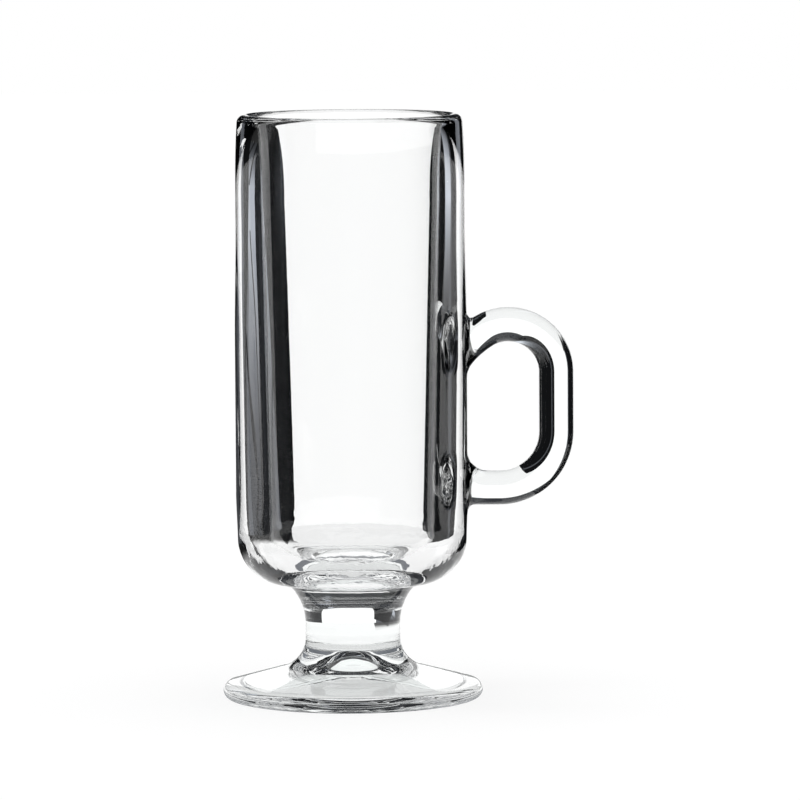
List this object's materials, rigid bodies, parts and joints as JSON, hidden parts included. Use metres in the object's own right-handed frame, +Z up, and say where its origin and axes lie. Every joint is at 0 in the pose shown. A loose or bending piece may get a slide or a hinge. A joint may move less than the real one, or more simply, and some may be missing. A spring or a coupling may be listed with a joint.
{
  "type": "coffee cup",
  "caption": "Clear pressed-glass coffee cup: straight thick-walled bowl with a loop handle at its side, on a short waisted stem and a round sloping foot.",
  "frame": {"origin": "on the table under the middle of the bounding box, so the cup's own axis stands at x = -12.95 mm", "axes": "+Z up along the cup's axis, +X towards the handle, +Y to the left of someone who looks from the cup along the handle"},
  "size_m": [0.0992, 0.0734, 0.165],
  "materials": {
    "clear_glass": "clear, fire-polished, faintly rippled"
  },
  "bodies": {
    "root": {"bowl": "clear_glass", "handle": "clear_glass", "stem": "clear_glass", "foot": "clear_glass"}
  },
  "joints": []
}
